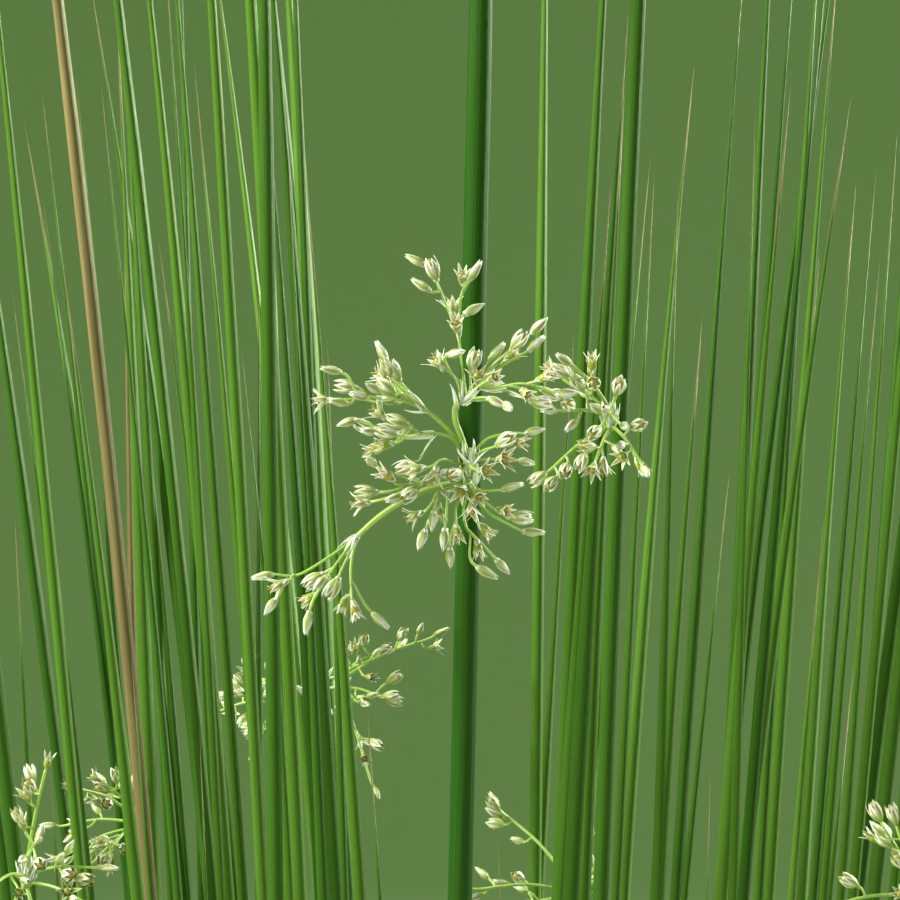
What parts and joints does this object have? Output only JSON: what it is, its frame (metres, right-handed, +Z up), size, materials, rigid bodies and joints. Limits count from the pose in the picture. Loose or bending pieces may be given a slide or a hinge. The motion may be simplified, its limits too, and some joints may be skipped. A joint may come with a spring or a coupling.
{
  "type": "potted soft rush",
  "caption": "Clump of round, leafless green rush stems in a plain tapered clay pot, with loose side sprays of small pale flowers on rays of uneven length.",
  "frame": {"origin": "middle of the pot's flat underside", "axes": "+Z up through the clump, front towards -Y, where the first flowering stem stands, +X to the right seen from the front"},
  "size_m": [0.2637, 0.251, 0.6516],
  "materials": {
    "clay": "matt unglazed earthenware",
    "soil": "moist crumbly bark-based potting soil",
    "stem": "smooth, softly glossy, finely ridged",
    "flower": "papery, pale yellow-green and cream"
  },
  "bodies": {
    "root": {"pot": "clay", "soil": "soil", "tuft_01": "stem", "tuft_02": "stem", "tuft_03": "stem", "tuft_04": "stem", "tuft_05": "stem", "tuft_06": "stem", "tuft_07": "stem", "tuft_08": "stem", "tuft_09": "stem", "tuft_10": "stem", "tuft_11": "stem", "tuft_12": "stem", "tuft_13": "stem", "tuft_14": "stem", "tuft_15": "stem", "tuft_16": "stem", "flowering_stem_01": "stem", "flowering_stem_02": "stem", "flowering_stem_03": "stem", "flowering_stem_04": "stem", "flowering_stem_05": "stem", "flowering_stem_06": "stem", "flowering_stem_07": "stem", "flowering_stem_08": "stem", "flowering_stem_09": "stem", "flowering_stem_10": "stem", "flowering_stem_11": "stem", "flowering_stem_12": "stem", "flowering_stem_13": "stem", "flower_head_01": "flower", "flower_head_02": "flower", "flower_head_03": "flower", "flower_head_04": "flower", "flower_head_05": "flower", "flower_head_06": "flower", "flower_head_07": "flower", "flower_head_08": "flower", "flower_head_09": "flower", "flower_head_10": "flower", "flower_head_11": "flower", "flower_head_12": "flower", "flower_head_13": "flower"}
  },
  "joints": []
}
